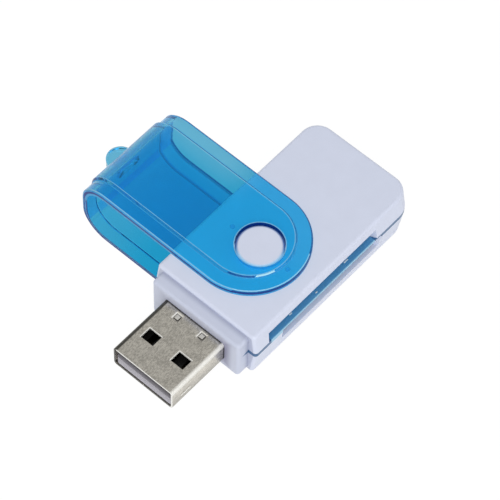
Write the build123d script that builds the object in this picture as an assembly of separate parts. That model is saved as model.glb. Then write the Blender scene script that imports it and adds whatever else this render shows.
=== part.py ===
from build123d import *
import os

# USB memory card reader with a swivel cap, at real size in millimetres.
# Reader frame: X towards the wide card slots, Y from the plug towards the far end, Z up,
# with zero on the plug's axis at the front face of the nose.

# Plug, standard type A
plug_width = 12.0
plug_height = 4.5
plug_reach = 11.6
plug_rear = 5.0
plug_sheet = 0.3
plug_bend = 0.5
plug_seam = 0.08
plug_hole_width = 2.5
plug_hole_length = 2.1
plug_hole_spacing = 6.1
plug_hole_setback = 5.2
dimple_size = 1.6
dimple_depth = 0.2
dimple_spacing = 5.0
dimple_setback = 10.45
dimple_slope = 55.0
side_rib_length = 2.1
side_rib_width = 0.25
side_rib_height = 0.08
side_rib_setback = 2.9
side_rib_drop = 0.5
plug_leg_length = 1.8
plug_leg_height = 1.1
tongue_setback = 0.15
tongue_side_gap = 0.05
tongue_round = 0.5
pocket_floor = 0.35
plug_contact_width = 1.0
plug_contact_sheet = 0.2
plug_contact_inner = 2.0
plug_contact_outer = 7.0
plug_contact_setback = 1.2
plug_void = 1.95
plug_joggle_inset = 0.8
plug_joggle_length = 0.4
plug_tail_length = 2.4

# Housing
body_width = 20.7
body_length = 37.35
body_height = 10.0
body_lift = 0.15
nose_step = 1.5
nose_length = 2.35
nose_height = 8.4
nose_round = 0.6
nose_ease = 0.05
far_corner = 3.6
front_corner = 0.6
edge_round = 0.55
lower_edge_round = 0.25
side_lean = 0.13
wall = 1.2
floor_wall = 1.3
least_round = 0.3
plug_fit = 0.05

# Card frame between the shells, and the circuit board inside it
frame_bottom = 0.2
frame_thickness = 0.85
frame_rim_left = 2.6
frame_rim_right = 4.7
frame_rim_far = 4.6
frame_lead_height = 0.5
frame_lead_depth = 1.0
board_gap = 0.1
board_plug_gap = 0.2
board_round = 0.5
wedge_length = 1.4
wedge_depth = 0.6

# Card slots: widths along Y, heights along Z, centres measured from the nose's front face
full_card_width = 24.2
full_card_height = 2.25
full_card_centre = 18.05
full_card_flare = 0.55
stick_card_width = 21.8
stick_card_height = 2.45
stick_card_centre = 20.25
stick_card_flare = 0.75
micro_card_width = 11.4
micro_card_height = 1.25
micro_card_centre = 13.4
short_stick_width = 12.9
short_stick_height = 1.5
short_stick_centre = 14.1
small_card_flare = 0.5
rail = 0.8
stick_rib_count = 3

# Contact springs and the bars that hold them
wide_bar_front = 0.6
small_bar_front = -4.2
bar_depth = 1.4
bar_height = 1.1
bar_margin = 0.6
spring_sheet = 0.15
spring_fit = 0.05
spring_tail = 0.7
spring_foot = 0.4
spring_crest_share = 0.65
spring_tip_share = 0.45
wide_spring_reach = 4.2
wide_spring_lift = 0.9
small_spring_reach = 3.0
small_spring_lift = 0.6
full_card_contacts_count = 9
full_card_pitch = 2.5
full_card_strip = 0.9
stick_card_contacts_count = 10
stick_card_pitch = 1.9
stick_card_strip = 0.8
micro_card_contacts_count = 8
micro_card_pitch = 1.1
micro_card_strip = 0.5
short_stick_contacts_count = 11
short_stick_pitch = 1.0
short_stick_strip = 0.45
detect_strip = 0.7
detect_inset = 0.3

# Board components
chip_length = 8.6
chip_width = 3.9
chip_thickness = 1.45
chip_standoff = 0.1
chip_edge = 0.15
chip_spring_gap = 0.55
chip_guide_gap = 1.6
chip_mark_radius = 0.35
chip_mark_depth = 0.1
lead_count = 12
lead_pitch = 0.64
lead_width = 0.25
lead_sheet = 0.16
lead_reach = 1.05
lead_foot = 0.45
lead_height = 0.7
crystal_length = 5.0
crystal_width = 3.2
crystal_base = 0.5
crystal_lid = 0.6
crystal_rim = 0.25
crystal_bar_gap = 0.7
led_length = 2.0
led_width = 1.25
led_base = 0.4
led_lens = 0.45
led_end = 0.35
led_edge_gap = 1.6
passive_length = 1.6
passive_width = 0.8
capacitor_height = 0.8
resistor_height = 0.45
terminal_length = 0.35
terminal_lap = 0.03
capacitor_pitch = 2.2
capacitor_count = 4
resistor_pitch = 1.6
resistor_count = 5
passive_edge_gap = 2.2
passive_guide_gap = 2.55
resistor_spring_gap = 0.4

# Locating pegs between the shells
peg_radius = 0.7
peg_fit = 0.05
peg_length = 1.8
peg_shoulder = 1.0
peg_side_inset = 3.3
peg_far_inset = 3.0
socket_wall = 0.65

# Swivel: bosses on the shells turn in the cap's holes
swivel_y = 14.8
boss_radius = 3.85
boss_fit = 0.1
boss_edge = 0.3
boss_edge_break = 0.12
boss_recess = 0.4

# Swivel cap
cap_gap = 0.2
cap_plate = 1.15
cap_strap = 0.4
cap_half_width = 9.7
cap_margin = 2.4
cap_round_offset = 2.1
cap_reach = 28.95
cap_end_wall = 1.1
cap_end_round = 5.0
cap_edge_bevel = 0.25
strap_bevel = 0.3
lug_reach = 2.7
lug_radius = 2.35
lug_thickness = 2.0
lug_edge = 0.3

# Levels and places that follow from the sizes above
half_body = body_width / 2
nose_width = body_width - 2 * nose_step
body_top = body_height / 2 + body_lift
body_depth = body_height / 2 - body_lift
frame_top = frame_bottom + frame_thickness
frame_middle = frame_bottom + frame_thickness / 2
far_end = nose_length + body_length
front_inside = nose_length + wall
ceiling = frame_top + full_card_height
floor_level = floor_wall - body_depth
plug_inner_width = plug_width - 2 * plug_sheet
plug_inner_height = plug_height - 2 * plug_sheet
tongue_top = plug_inner_height / 2 - plug_void
board_front = plug_rear + board_plug_gap
board_left = frame_rim_left - half_body
board_right = half_body - frame_rim_right
board_far = far_end - frame_rim_far
wide_bar_back = wide_bar_front - bar_depth
chip_centre_x = wide_bar_back - spring_tail - chip_spring_gap - lead_reach - chip_width / 2
chip_centre_y = micro_card_centre + micro_card_width / 2 + rail + chip_guide_gap + chip_length / 2
far_zone = (full_card_centre + full_card_width / 2 + rail + board_far) / 2
crystal_x = wide_bar_front - crystal_bar_gap - crystal_length / 2
led_x = board_right - led_edge_gap
passive_x = board_left + passive_edge_gap
resistor_x = wide_bar_back - spring_tail - resistor_spring_gap - passive_length / 2
passive_y = short_stick_centre + short_stick_width / 2 + rail + passive_guide_gap
socket_radius = peg_radius + socket_wall
cap_inner = body_height / 2 + cap_gap
cap_outer = cap_inner + cap_plate
strap_outer = cap_outer + cap_strap
boss_height = strap_outer - boss_recess - body_height / 2
lug_tip = cap_reach + lug_reach
cut_over = 1.0

UPPER = 1
LOWER = -1
RIGHT = 1
LEFT = -1


def block(low, high):
    """Box between two opposite corners."""
    size = [b - a for a, b in zip(low, high)]
    middle = [(a + b) / 2 for a, b in zip(low, high)]
    return Pos(*middle) * Box(*size)


def body_outline(inset, front_inset):
    """Plan of the main housing, drawn inwards by one inset at the sides and far end and one at the front."""
    front = nose_length + front_inset
    far = far_end - inset
    plan = Pos(0, (front + far) / 2) * Rectangle(body_width - 2 * inset, far - front)
    plan = fillet(plan.vertices().sort_by(Axis.Y)[2:], max(far_corner - inset, least_round))
    return fillet(plan.vertices().sort_by(Axis.Y)[:2], max(front_corner - front_inset, least_round))


def outer_half(rim, height, lift, top_round):
    """Outer form of one shell above its rim at Z zero: block with leaning sides, nose step and boss."""
    rise = height - rim
    main = loft([body_outline(0, 0), Pos(0, 0, rise) * body_outline(side_lean * rise, 0)], ruled=True)
    main = fillet(main.faces().sort_by(Axis.Z)[-1].edges(), top_round)
    nose_low = -frame_thickness / 2
    nose_top = nose_height / 2 + lift - rim
    nose = block((-nose_width / 2, 0, nose_low), (nose_width / 2, front_inside, nose_top))
    nose = fillet(nose.edges().filter_by(Axis.Z).sort_by(Axis.Y)[:2], nose_round)
    brow = nose.faces().sort_by(Axis.Z)[-1].edges().sort_by(Axis.Y)[:-1]
    nose = fillet(brow, min(top_round, nose_round - nose_ease))
    nose -= block((-nose_width, nose_length, nose_low), (nose_width, far_end, 0))
    boss_rise = rise + boss_height
    boss = Pos(0, swivel_y) * Cylinder(boss_radius, boss_rise, align=(Align.CENTER, Align.CENTER, Align.MIN))
    boss = chamfer(boss.faces().sort_by(Axis.Z)[-1].edges(), boss_edge)
    boss = chamfer(boss.edges().filter_by(GeomType.CIRCLE).sort_by(Axis.Z)[-2:], boss_edge_break)
    return main + nose + boss


def plug_passage():
    """Opening for the plug through the nose and the front wall."""
    section = Rectangle(plug_width + 2 * plug_fit, plug_height + 2 * plug_fit)
    section = fillet(section.vertices(), plug_bend + plug_fit)
    return extrude(Plane.XZ * section, front_inside + cut_over, both=True)


def nose_wedge(side):
    """Sliver of the card frame that tapers forward along the side of the nose."""
    corners = [
        (nose_length, frame_bottom),
        (nose_length, frame_top),
        (nose_length - wedge_length, frame_middle),
    ]
    sliver = extrude(Plane.YZ * make_face(Polyline(*corners, close=True)), wedge_depth)
    inner = nose_width / 2 - wedge_depth
    return Pos(inner if side == RIGHT else -inner - wedge_depth, 0, 0) * sliver


def slot_cut(side, centre, width, flare, low, high):
    """Card mouth through a side wall, wider at the outside."""
    inner = half_body - wall - cut_over
    slope_start = half_body - wall
    half = width / 2
    plan = Polyline(
        (inner, -half),
        (slope_start, -half),
        (half_body, -half - flare),
        (half_body + cut_over, -half - flare),
        (half_body + cut_over, half + flare),
        (half_body, half + flare),
        (slope_start, half),
        (inner, half),
        close=True,
    )
    mouth = extrude(make_face(plan), high - low)
    turn = 0 if side == RIGHT else 180
    return Pos(0, centre, low) * Rot(0, 0, turn) * mouth


def peg_places():
    """Centres of the locating pegs."""
    return [(side * (half_body - peg_side_inset), far_end - peg_far_inset) for side in (LEFT, RIGHT)]


def upright(x, y, radius, low, high):
    """Round post between two levels."""
    return Pos(x, y, (low + high) / 2) * Cylinder(radius, high - low)


def card_rails(centre, width, bar_front, low, high):
    """Two guide rails at the sides of a wide card's path."""
    inside = half_body - wall / 2
    near = centre - width / 2
    far = centre + width / 2
    first = block((bar_front, near - rail, low), (inside, near, high))
    second = block((bar_front, far, low), (inside, far + rail, high))
    return first + second


def small_card_guide(centre, width, low, high, path_low, path_high):
    """Block on the left wall with the path of a small card cut through it."""
    outer = -half_body + wall / 2
    inner = small_bar_front - spring_fit
    half = width / 2
    guide = block((outer, centre - half - rail, low), (inner, centre + half + rail, high))
    return guide - block((outer - cut_over, centre - half, path_low), (inner + cut_over, centre + half, path_high))


def upper_shell():
    """Upper half of the housing."""
    shell = Pos(0, 0, frame_top) * outer_half(frame_top, body_top, body_lift, edge_round)
    shell -= extrude(Pos(0, 0, frame_top) * body_outline(wall, wall), full_card_height)
    shell += card_rails(full_card_centre, full_card_width, wide_bar_front, frame_top, ceiling)
    shell += small_card_guide(
        micro_card_centre, micro_card_width, frame_top, ceiling, frame_top, frame_top + micro_card_height
    )
    for x, y in peg_places():
        shell += upright(x, y, peg_shoulder, frame_top, ceiling)
        shell += upright(x, y, peg_radius, frame_bottom - peg_length, frame_top)
    shell -= plug_passage()
    shell -= slot_cut(RIGHT, full_card_centre, full_card_width, full_card_flare, frame_top, ceiling)
    shell -= slot_cut(
        LEFT, micro_card_centre, micro_card_width, small_card_flare, frame_top, frame_top + micro_card_height
    )
    for side in (LEFT, RIGHT):
        shell -= nose_wedge(side)
    return shell


def lower_shell():
    """Lower half of the housing."""
    outside = mirror(outer_half(-frame_bottom, body_depth, -body_lift, lower_edge_round), about=Plane.XY)
    shell = Pos(0, 0, frame_bottom) * outside
    shell -= extrude(Pos(0, 0, floor_level) * body_outline(wall, wall), frame_bottom - floor_level)
    stick_floor = frame_bottom - stick_card_height
    short_floor = frame_bottom - short_stick_height
    shell += card_rails(stick_card_centre, stick_card_width, wide_bar_front, floor_level, frame_bottom)
    spacing = stick_card_width / (stick_rib_count + 1)
    for index in range(1, stick_rib_count + 1):
        rib_y = stick_card_centre - stick_card_width / 2 + index * spacing
        rib_low = (wide_bar_front, rib_y - rail / 2, floor_level)
        shell += block(rib_low, (half_body - wall / 2, rib_y + rail / 2, stick_floor))
    shell += small_card_guide(
        short_stick_centre, short_stick_width, floor_level, frame_bottom, short_floor, frame_bottom
    )
    for x, y in peg_places():
        shell += upright(x, y, socket_radius, floor_level, frame_bottom)
        shell -= upright(x, y, peg_radius + peg_fit, frame_bottom - peg_length - peg_fit, frame_bottom)
    shell -= plug_passage()
    shell -= slot_cut(RIGHT, stick_card_centre, stick_card_width, stick_card_flare, stick_floor, frame_bottom)
    shell -= slot_cut(
        LEFT, short_stick_centre, short_stick_width, small_card_flare, short_floor, frame_bottom
    )
    for side in (LEFT, RIGHT):
        shell -= nose_wedge(side)
    return shell


def frame_lead_in():
    """Slope under the frame's edge that leads a stick card into its slot."""
    corners = [
        (half_body, frame_bottom),
        (half_body, frame_bottom + frame_lead_height),
        (half_body - frame_lead_depth, frame_bottom),
    ]
    slope = make_face(Polyline(*corners, close=True))
    reach = stick_card_width / 2 + stick_card_flare
    return Pos(0, stick_card_centre, 0) * extrude(Plane.XZ * slope, reach, both=True)


def card_frame():
    """Coloured frame clamped between the shells, open at the front for the plug."""
    frame = extrude(Pos(0, 0, frame_bottom) * body_outline(0, 0), frame_thickness)
    window_low = (board_left - board_gap, plug_rear, frame_bottom)
    frame -= block(window_low, (board_right + board_gap, board_far + board_gap, frame_top))
    notch = plug_width / 2 + plug_fit + board_gap
    frame -= block((-notch, 0, frame_bottom), (notch, board_front, frame_top))
    for x, y in peg_places():
        frame -= upright(x, y, peg_radius + peg_fit, frame_bottom, frame_top)
    for side in (LEFT, RIGHT):
        frame += nose_wedge(side)
    return frame - frame_lead_in()


def circuit_board():
    """Board that lies in the frame's window."""
    board = block((board_left, board_front, frame_bottom), (board_right, board_far, frame_top))
    return fillet(board.edges().filter_by(Axis.Z), board_round)


def plug_holes(depth_low, depth_high):
    """The two square windows for a socket's latch springs, as prisms."""
    y = plug_hole_setback - plug_reach
    holes = []
    for sign in (LEFT, RIGHT):
        x = sign * plug_hole_spacing / 2
        low = (x - plug_hole_width / 2, y - plug_hole_length / 2, depth_low)
        holes.append(block(low, (x + plug_hole_width / 2, y + plug_hole_length / 2, depth_high)))
    return holes


def usb_shell():
    """Plug shell folded from one sheet, with its butt seam underneath."""
    outside = fillet(Rectangle(plug_width, plug_height).vertices(), plug_bend)
    inside = Rectangle(plug_inner_width, plug_inner_height)
    inside = fillet(inside.vertices(), max(plug_bend - plug_sheet, least_round / 2))
    length = plug_reach + plug_rear
    shell = extrude(Plane.XZ.offset(-plug_rear) * (outside - inside), length)
    for hole in plug_holes(-plug_height, plug_height):
        shell -= hole
    shell -= block((-plug_seam / 2, -plug_reach, -plug_height), (plug_seam / 2, plug_rear, 0))
    for sign in (LEFT, RIGHT):
        dimple_top = Plane.XY.offset(plug_height / 2) * Rectangle(dimple_size, dimple_size)
        dimple = extrude(dimple_top, -dimple_depth, taper=dimple_slope)
        shell -= Pos(sign * dimple_spacing / 2, dimple_setback - plug_reach, 0) * dimple
        rib_y = side_rib_setback - plug_reach
        rib_low = -side_rib_drop - side_rib_width / 2
        side_face = sign * plug_width / 2
        proud = sorted((side_face - sign * plug_sheet / 2, side_face + sign * side_rib_height))
        rib = block(
            (proud[0], rib_y - side_rib_length / 2, rib_low),
            (proud[1], rib_y + side_rib_length / 2, rib_low + side_rib_width),
        )
        shell += rib
        leg = sorted((side_face, side_face - sign * plug_sheet))
        leg_far = plug_rear + plug_leg_length
        shell += block(
            (leg[0], plug_rear - plug_leg_height, frame_bottom - plug_leg_height),
            (leg[1], leg_far, frame_bottom),
        )
    return shell


def plug_contact_places():
    """X of the four plug contacts."""
    return [-plug_contact_outer / 2, -plug_contact_inner / 2, plug_contact_inner / 2, plug_contact_outer / 2]


def bent_strip(points, sheet, width):
    """Strip of even thickness folded along straight runs, with its underside through the points."""
    side = Polyline(*points).offset_2d(sheet, Kind.INTERSECTION, Side.LEFT, closed=True)
    return extrude(Plane.XZ * make_face(side), width / 2, both=True)


def usb_contacts():
    """Four strips along the top of the plug's tongue that step up to the underside of the board."""
    low = tongue_top - plug_contact_sheet
    high = frame_bottom - plug_contact_sheet
    joggle = plug_rear - plug_joggle_inset
    side = [
        (plug_contact_setback - plug_reach, low),
        (joggle - plug_joggle_length, low),
        (joggle, high),
        (board_front + plug_tail_length, high),
    ]
    strip = Rot(0, 0, 90) * bent_strip(side, plug_contact_sheet, plug_contact_width)
    return [Pos(x, 0, 0) * strip for x in plug_contact_places()]


def usb_insulator():
    """Tongue and rear block that carry the plug contacts, with the space for a socket above the tongue."""
    half = plug_inner_width / 2 - tongue_side_gap
    top = plug_inner_height / 2 - tongue_side_gap
    length = plug_reach - tongue_setback + plug_rear
    section = fillet(Rectangle(2 * half, 2 * top).vertices(), plug_bend - tongue_side_gap)
    prism = extrude(Plane.XZ.offset(-plug_rear) * section, length)
    plan = Pos(0, plug_rear - length / 2) * Rectangle(2 * half, length)
    plan = fillet(plan.vertices().sort_by(Axis.Y)[:2], tongue_round)
    body = prism & extrude(plan, plug_height, both=True)
    body -= block((-plug_width, -plug_reach, tongue_top), (plug_width, 0, plug_height))
    for pocket in plug_holes(-plug_height, tongue_top - plug_contact_sheet - pocket_floor):
        body -= pocket
    for strip in usb_contacts():
        body -= strip
    return body


def contact_spring(reach, lift, strip):
    """Bent contact strip along +X, with its flat foot on Z zero and its bar at X below zero."""
    points = [
        (-bar_depth - spring_tail, 0),
        (spring_foot, 0),
        (spring_crest_share * reach, lift),
        (reach, spring_tip_share * lift),
    ]
    return bent_strip(points, spring_sheet, strip)


def slot_place(side, level, front, centre):
    """Place of a contact row: its bar's front face on the board's upper or lower side."""
    turn = 0 if side == RIGHT else 180
    over = 0 if level == UPPER else 180
    height = frame_top if level == UPPER else frame_bottom
    return Pos(front, centre, height) * Rot(0, 0, turn) * Rot(over, 0, 0)


def row_offsets(count, pitch):
    """Evenly spaced offsets about zero."""
    return [(index - (count - 1) / 2) * pitch for index in range(count)]


def contact_row(place, count, pitch, strip, reach, lift):
    """Row of separate contact springs."""
    spring = contact_spring(reach, lift, strip)
    return [place * Pos(0, offset, 0) * spring for offset in row_offsets(count, pitch)]


def contact_bar(place, count, pitch, strip):
    """Moulded bar over the feet of a row of springs."""
    half = (count - 1) / 2 * pitch + strip / 2 + bar_margin
    bar = block((-bar_depth, -half, 0), (0, half, bar_height))
    bar = chamfer(bar.faces().sort_by(Axis.Z)[-1].edges().filter_by(Axis.Y), spring_sheet)
    for offset in row_offsets(count, pitch):
        groove = strip / 2 + spring_fit
        low = (-bar_depth, offset - groove, 0)
        bar -= block(low, (0, offset + groove, spring_sheet + spring_fit))
    return place * bar


def detect_springs():
    """Two springs beside the full card contacts that sense the card and its lock tab."""
    place = slot_place(RIGHT, UPPER, wide_bar_front, full_card_centre)
    offset = full_card_width / 2 - detect_inset - detect_strip / 2
    spring = contact_spring(wide_spring_reach, wide_spring_lift, detect_strip)
    return [place * Pos(0, sign * offset, 0) * spring for sign in (LEFT, RIGHT)]


def controller_chip():
    """Moulded body of the controller, with its corner mark."""
    body = Box(chip_width, chip_length, chip_thickness, align=(Align.CENTER, Align.CENTER, Align.MIN))
    body = chamfer(body.faces().sort_by(Axis.Z)[-1].edges(), chip_edge)
    mark_x = chip_width / 2 - 3 * chip_mark_radius
    mark_y = chip_length / 2 - 3 * chip_mark_radius
    body -= upright(-mark_x, mark_y, chip_mark_radius, chip_thickness - chip_mark_depth, chip_thickness)
    return Pos(chip_centre_x, chip_centre_y, frame_top + chip_standoff) * body


def controller_leads():
    """Gull-wing leads along both long sides of the controller."""
    start = chip_width / 2
    knee = start + (lead_reach - lead_foot) / 2
    points = [(start, lead_height), (knee, lead_height), (start + lead_reach - lead_foot, 0), (start + lead_reach, 0)]
    lead = bent_strip(points, lead_sheet, lead_width)
    leads = []
    for turn in (0, 180):
        for offset in row_offsets(lead_count, lead_pitch):
            leads.append(Pos(chip_centre_x, chip_centre_y, frame_top) * Rot(0, 0, turn) * Pos(0, offset, 0) * lead)
    return leads


def crystal():
    """Clock crystal: ceramic base with a drawn lid."""
    base = Box(crystal_length, crystal_width, crystal_base, align=(Align.CENTER, Align.CENTER, Align.MIN))
    lid_length = crystal_length - 2 * crystal_rim
    lid_width = crystal_width - 2 * crystal_rim
    lid = Box(lid_length, lid_width, crystal_lid, align=(Align.CENTER, Align.CENTER, Align.MIN))
    lid = fillet(lid.edges().filter_by(Axis.Z), crystal_rim)
    lid = chamfer(lid.faces().sort_by(Axis.Z)[-1].edges(), crystal_rim / 2)
    return Pos(crystal_x, far_zone, frame_top) * (base + Pos(0, 0, crystal_base) * lid)


def status_led():
    """Small light source with a moulded lens between its two ends."""
    base = Box(led_length, led_width, led_base, align=(Align.CENTER, Align.CENTER, Align.MIN))
    lens_length = led_length - 2 * led_end
    lens = Box(lens_length, led_width, led_lens, align=(Align.CENTER, Align.CENTER, Align.MIN))
    lens = chamfer(lens.faces().sort_by(Axis.Z)[-1].edges(), led_lens / 3)
    return Pos(led_x, far_zone, frame_top) * (base + Pos(0, 0, led_base) * lens)


def passive(height):
    """Two-ended board component with metal ends that lap its body."""
    inner_width = passive_width - 2 * terminal_lap
    body = Box(passive_length, inner_width, height - terminal_lap, align=(Align.CENTER, Align.CENTER, Align.MIN))
    for sign in (LEFT, RIGHT):
        end = Box(terminal_length, passive_width, height, align=(Align.CENTER, Align.CENTER, Align.MIN))
        body += Pos(sign * (passive_length - terminal_length) / 2, 0, 0) * end
    return body


def passive_row(count, pitch, height, x):
    """Row of passives on the underside of the board."""
    row = []
    for index in range(count):
        row.append(Pos(x, passive_y + index * pitch, frame_bottom) * Rot(180, 0, 0) * passive(height))
    return row


def cap_plan(half_width):
    """Plan of the cap or of its strap: straight sides and a round end beyond the swivel."""
    far = lug_tip + cut_over
    straight = Pos((-cap_round_offset - far) / 2, 0) * Rectangle(far - cap_round_offset, 2 * half_width)
    return Pos(0, swivel_y) * (straight + Pos(-cap_round_offset, 0) * Circle(half_width))


def cap_section(reach, half_height, corner):
    """Side profile of the cap: a flat block with a rounded closed end at X below zero."""
    open_end = cap_half_width
    profile = Pos((open_end - reach) / 2, 0) * Rectangle(open_end + reach, 2 * half_height)
    return fillet(profile.vertices().sort_by(Axis.X)[:2], corner)


def cap_solid(reach, half_height, corner, half_width, bevel):
    """Part of the profile's prism that lies inside a plan, with its long outer edges bevelled."""
    prism = extrude(Plane.XZ * cap_section(reach, half_height, corner), 2 * far_end, both=True)
    solid = prism & extrude(cap_plan(half_width), 2 * strap_outer, both=True)
    by_width = solid.faces().sort_by(Axis.Y)
    rim = by_width[0].edges() + by_width[-1].edges()
    rim += solid.edges().filter_by(GeomType.CIRCLE).filter_by(Plane.XY)
    seams = solid.edges().filter_by(Axis.Z).sort_by(Axis.X)[2:]
    return chamfer([edge for edge in rim if edge not in seams], bevel)


def cap_lug():
    """Half-round tab on the closed end."""
    centre = lug_tip - lug_radius
    tab = Circle(lug_radius) + Pos(lug_radius, 0) * Rectangle(2 * lug_radius, 2 * lug_radius)
    lug = extrude(tab, lug_thickness / 2, both=True)
    lug = chamfer(lug.edges().filter_by(GeomType.CIRCLE), lug_edge)
    return Pos(-centre, swivel_y, 0) * lug


def swivel_cap():
    """Transparent cap: one bent strip with a raised strap, two swivel holes and a lug."""
    shell = cap_solid(cap_reach - cap_strap, cap_outer, cap_end_round, cap_half_width, cap_edge_bevel)
    strap_half = cap_half_width - cap_margin
    strap = cap_solid(cap_reach, strap_outer, cap_end_round + cap_strap, strap_half, strap_bevel)
    cap = shell + strap + cap_lug()
    inner_reach = cap_reach - cap_strap - cap_end_wall
    inner_corner = max(cap_end_round - cap_end_wall, least_round)
    hollow = cap_section(inner_reach, cap_inner, inner_corner)
    cap -= extrude(Plane.XZ * hollow, 2 * far_end, both=True)
    cap -= upright(0, swivel_y, boss_radius + boss_fit, -strap_outer - cut_over, strap_outer + cut_over)
    return Pos(0, 0, body_lift) * cap


wide_upper = slot_place(RIGHT, UPPER, wide_bar_front, full_card_centre)
wide_lower = slot_place(RIGHT, LOWER, wide_bar_front, stick_card_centre)
small_upper = slot_place(LEFT, UPPER, small_bar_front, micro_card_centre)
small_lower = slot_place(LEFT, LOWER, small_bar_front, short_stick_centre)
full_row = (full_card_contacts_count, full_card_pitch, full_card_strip)
stick_row = (stick_card_contacts_count, stick_card_pitch, stick_card_strip)
micro_row = (micro_card_contacts_count, micro_card_pitch, micro_card_strip)
short_row = (short_stick_contacts_count, short_stick_pitch, short_stick_strip)

pieces = {
    "upper_shell": upper_shell(),
    "lower_shell": lower_shell(),
    "card_frame": card_frame(),
    "circuit_board": circuit_board(),
    "usb_shell": usb_shell(),
    "usb_insulator": usb_insulator(),
    "usb_contacts": usb_contacts(),
    "full_card_contact_bar": contact_bar(wide_upper, *full_row),
    "full_card_contacts": contact_row(wide_upper, *full_row, wide_spring_reach, wide_spring_lift),
    "card_detect_springs": detect_springs(),
    "stick_card_contact_bar": contact_bar(wide_lower, *stick_row),
    "stick_card_contacts": contact_row(wide_lower, *stick_row, wide_spring_reach, wide_spring_lift),
    "micro_card_contact_bar": contact_bar(small_upper, *micro_row),
    "micro_card_contacts": contact_row(small_upper, *micro_row, small_spring_reach, small_spring_lift),
    "short_stick_contact_bar": contact_bar(small_lower, *short_row),
    "short_stick_contacts": contact_row(small_lower, *short_row, small_spring_reach, small_spring_lift),
    "controller_chip": controller_chip(),
    "controller_leads": controller_leads(),
    "clock_crystal": crystal(),
    "status_led": status_led(),
    "capacitors": passive_row(capacitor_count, capacitor_pitch, capacitor_height, passive_x),
    "resistors": passive_row(resistor_count, resistor_pitch, resistor_height, resistor_x),
    "swivel_cap": swivel_cap(),
}

# Row frame: origin under the middle of the assembly, on the plane that the cap rests on
row_place = Pos(-(half_body - lug_tip) / 2, -(far_end - plug_reach) / 2, strap_outer - body_lift)

os.makedirs("parts", exist_ok=True)
for name, piece in pieces.items():
    solids = piece if isinstance(piece, list) else [piece]
    placed = [row_place * solid for solid in solids]
    export_step(Compound(children=placed) if len(placed) > 1 else placed[0], f"parts/{name}.step")
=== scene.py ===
"""Studio scene of a pocket card reader with a clear blue swivel cap, dressed over its solid model."""

import logging
import math
from dataclasses import dataclass
from enum import Enum
from typing import Any, Optional, Union

import bpy
from mathutils import Matrix, Vector


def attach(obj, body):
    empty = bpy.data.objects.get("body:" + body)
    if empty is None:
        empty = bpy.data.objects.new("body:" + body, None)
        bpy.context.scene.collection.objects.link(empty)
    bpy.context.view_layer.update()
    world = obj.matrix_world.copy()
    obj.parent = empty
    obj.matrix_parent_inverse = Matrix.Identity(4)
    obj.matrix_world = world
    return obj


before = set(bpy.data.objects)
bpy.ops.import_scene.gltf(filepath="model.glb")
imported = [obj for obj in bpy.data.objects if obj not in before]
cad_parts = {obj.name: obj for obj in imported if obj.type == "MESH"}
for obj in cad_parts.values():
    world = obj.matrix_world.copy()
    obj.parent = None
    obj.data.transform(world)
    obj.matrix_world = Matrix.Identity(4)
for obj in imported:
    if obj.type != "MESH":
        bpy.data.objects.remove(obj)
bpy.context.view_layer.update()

logging.basicConfig(level=logging.INFO, format="%(message)s")
log = logging.getLogger("card_reader")

Colour = tuple[float, float, float]
Point = tuple[float, float, float]
MM = 0.001
READER_ORIGIN: Point = (0.01065, -0.01405, 0.0066)
SWIVEL_MM = 14.8
LIFT_MM = 0.15
# The painted sheen and shade round the swivel boss and the cap's hole walls go by this side.
FRONT_RIGHT = (0.643, -0.766)  # in plan, the side that the photograph is taken from


def place(x: float, y: float, z: float) -> Vector:
    """Turn a point in millimetres from the nose on the plug's axis into the frame in metres."""
    return Vector((x * MM, y * MM, z * MM)) + Vector(READER_ORIGIN)


class Signal:
    """A shader socket that can be used in Python arithmetic; each operation adds one Math node."""

    def __init__(self, shader: "Shader", socket: bpy.types.NodeSocket) -> None:
        """Keep the output socket and the shader that owns it."""
        self.shader = shader
        self.socket = socket

    def math(self, operation: str, *others: "Value") -> "Signal":
        """Add one Math node with this signal as its first operand."""
        return self.shader.maths(operation, self, *others)

    def __add__(self, other: "Value") -> "Signal":
        """Sum of two signals."""
        return self.math("ADD", other)

    __radd__ = __add__

    def __sub__(self, other: "Value") -> "Signal":
        """Difference of two signals."""
        return self.math("SUBTRACT", other)

    def __rsub__(self, other: "Value") -> "Signal":
        """Difference with this signal taken away."""
        return self.shader.maths("SUBTRACT", other, self)

    def __mul__(self, other: "Value") -> "Signal":
        """Product of two signals."""
        return self.math("MULTIPLY", other)

    __rmul__ = __mul__

    def __truediv__(self, other: "Value") -> "Signal":
        """Quotient of two signals."""
        return self.math("DIVIDE", other)

    def __pow__(self, other: "Value") -> "Signal":
        """Power of this signal."""
        return self.math("POWER", other)

    def __lt__(self, other: "Value") -> "Signal":
        """One where this signal is below the other."""
        return self.math("LESS_THAN", other)

    def __gt__(self, other: "Value") -> "Signal":
        """One where this signal is above the other."""
        return self.math("GREATER_THAN", other)

    def __abs__(self) -> "Signal":
        """Size of this signal without its sign."""
        return self.math("ABSOLUTE")

    def max(self, other: "Value") -> "Signal":
        """Larger of two signals."""
        return self.math("MAXIMUM", other)

    def root(self) -> "Signal":
        """Square root of this signal."""
        return self.math("SQRT")

    def within(self, low: float, high: float) -> "Signal":
        """One where this signal lies between two values."""
        return (self > low) * (self < high)

    def step(self, low: float, high: float) -> "Signal":
        """Smooth step from zero at low to one at high.

        Args:
            low: value where the step is zero.
            high: value where the step is one.

        Returns:
            The stepped signal.
        """
        settings = {"interpolation_type": "SMOOTHSTEP"}
        limits = {"From Min": low, "From Max": high}
        return self.shader.node("ShaderNodeMapRange", settings, "Result", Value=self, **limits)


Value = Union[Signal, float]


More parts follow.
